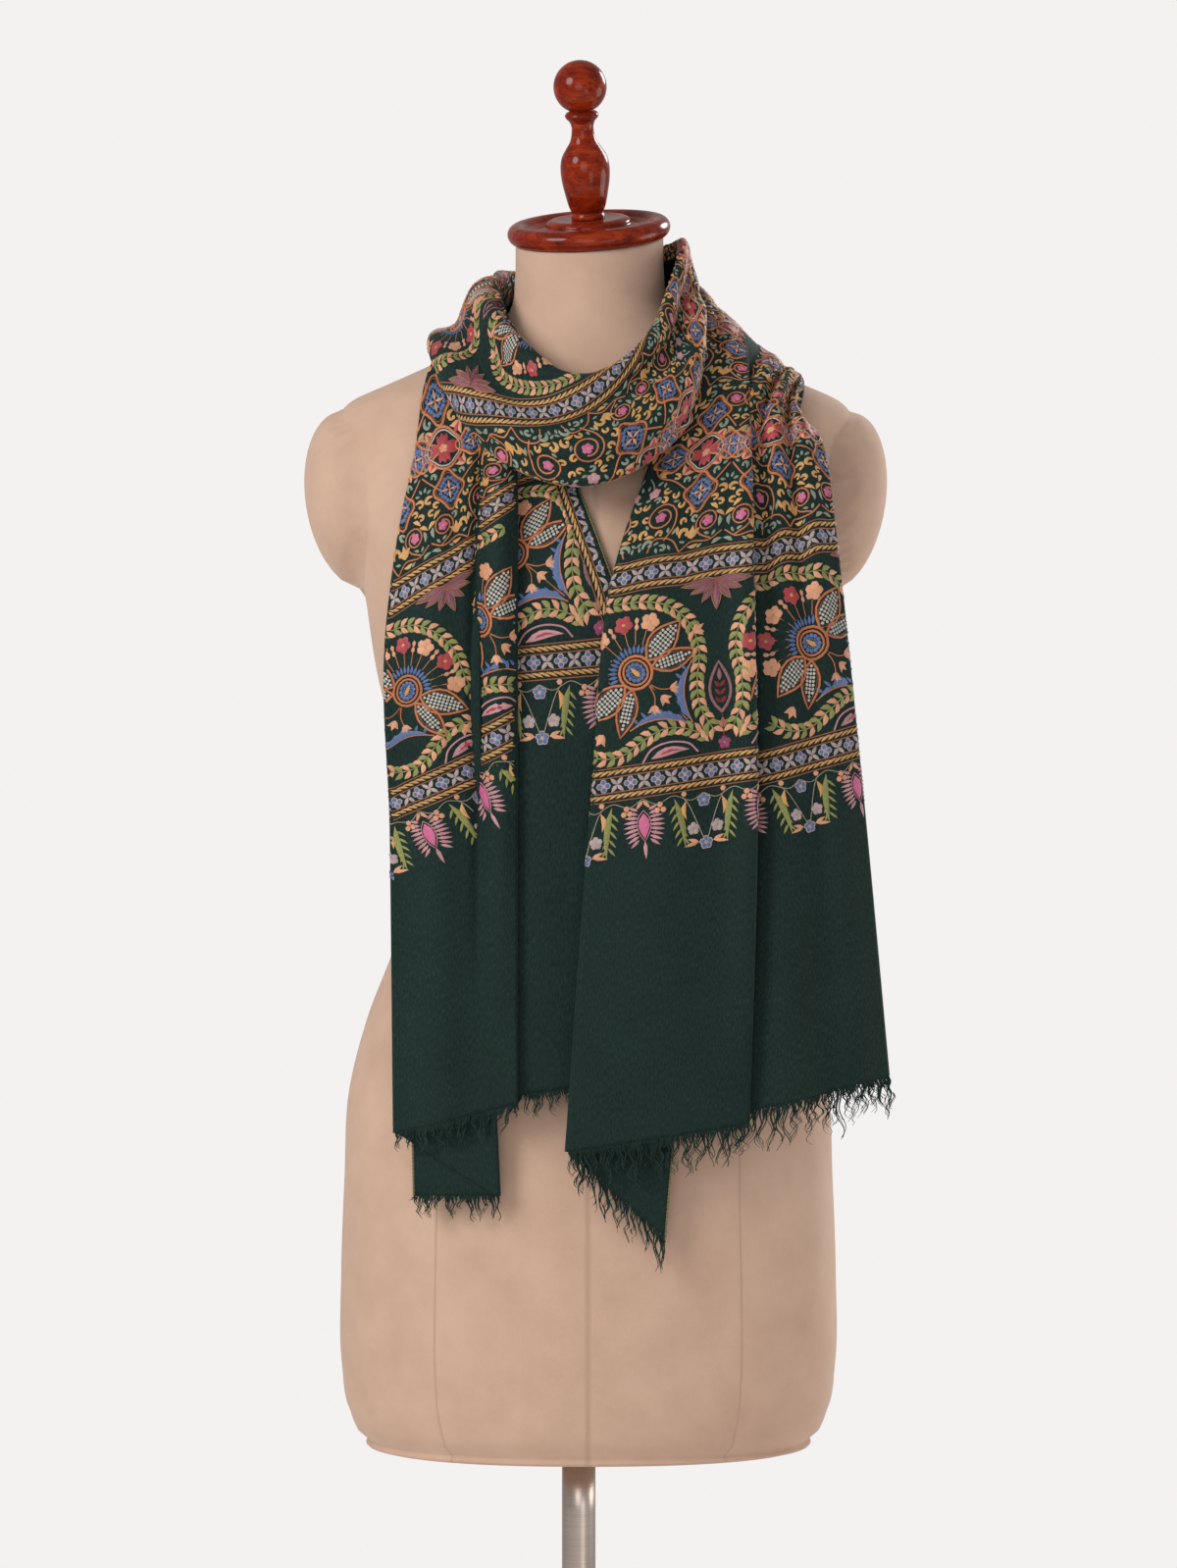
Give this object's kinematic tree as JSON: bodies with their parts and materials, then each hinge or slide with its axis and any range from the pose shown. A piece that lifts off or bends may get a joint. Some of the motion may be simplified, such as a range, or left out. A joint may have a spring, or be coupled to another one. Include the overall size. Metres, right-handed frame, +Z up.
{
  "type": "pashmina shawl on a limbless dress form",
  "caption": "Fringed, embroidered pashmina shawl wound once round the neck of a limbless dress form with a wooden neck cap and finial, on a pole stand.",
  "frame": {"origin": "centre of the base's underside, on the pole's axis", "axes": "+Z up along the pole, the front of the dress form faces -Y, +X towards the form's left shoulder, the viewer's right"},
  "size_m": [0.4141, 0.36, 1.628],
  "materials": {
    "form_cover": "beige napped cover cloth, brushed, matt",
    "cap_wood": "red-brown stained wood, high gloss lacquer",
    "stand_steel": "brushed stainless steel",
    "shawl_cloth": "fine twill pashmina, dark bluish green, soft nap",
    "fringe_yarn": "loose fine warp yarn, dark bluish green",
    "embroidery_thread": "silky embroidery thread in ochre, peach, olive, blue, lilac and crimson"
  },
  "bodies": {
    "root": {"dress_form": "form_cover", "neck_cap": "cap_wood", "finial": "cap_wood", "stand_base": "stand_steel", "pole": "stand_steel", "pole_collar": "stand_steel", "right_end": "shawl_cloth", "left_end": "shawl_cloth", "back_wrap": "shawl_cloth", "neck_loop": "shawl_cloth", "inner_wrap": "shawl_cloth", "fringe_right_inner_fold": "fringe_yarn", "fringe_right_hidden_fold": "fringe_yarn", "fringe_right_rear_selvedge": "fringe_yarn", "fringe_right_outer_fold": "fringe_yarn", "fringe_left_strip_fold": "fringe_yarn", "fringe_left_inner_selvedge": "fringe_yarn", "fringe_left_rear_fold": "fringe_yarn"}
  },
  "joints": []
}
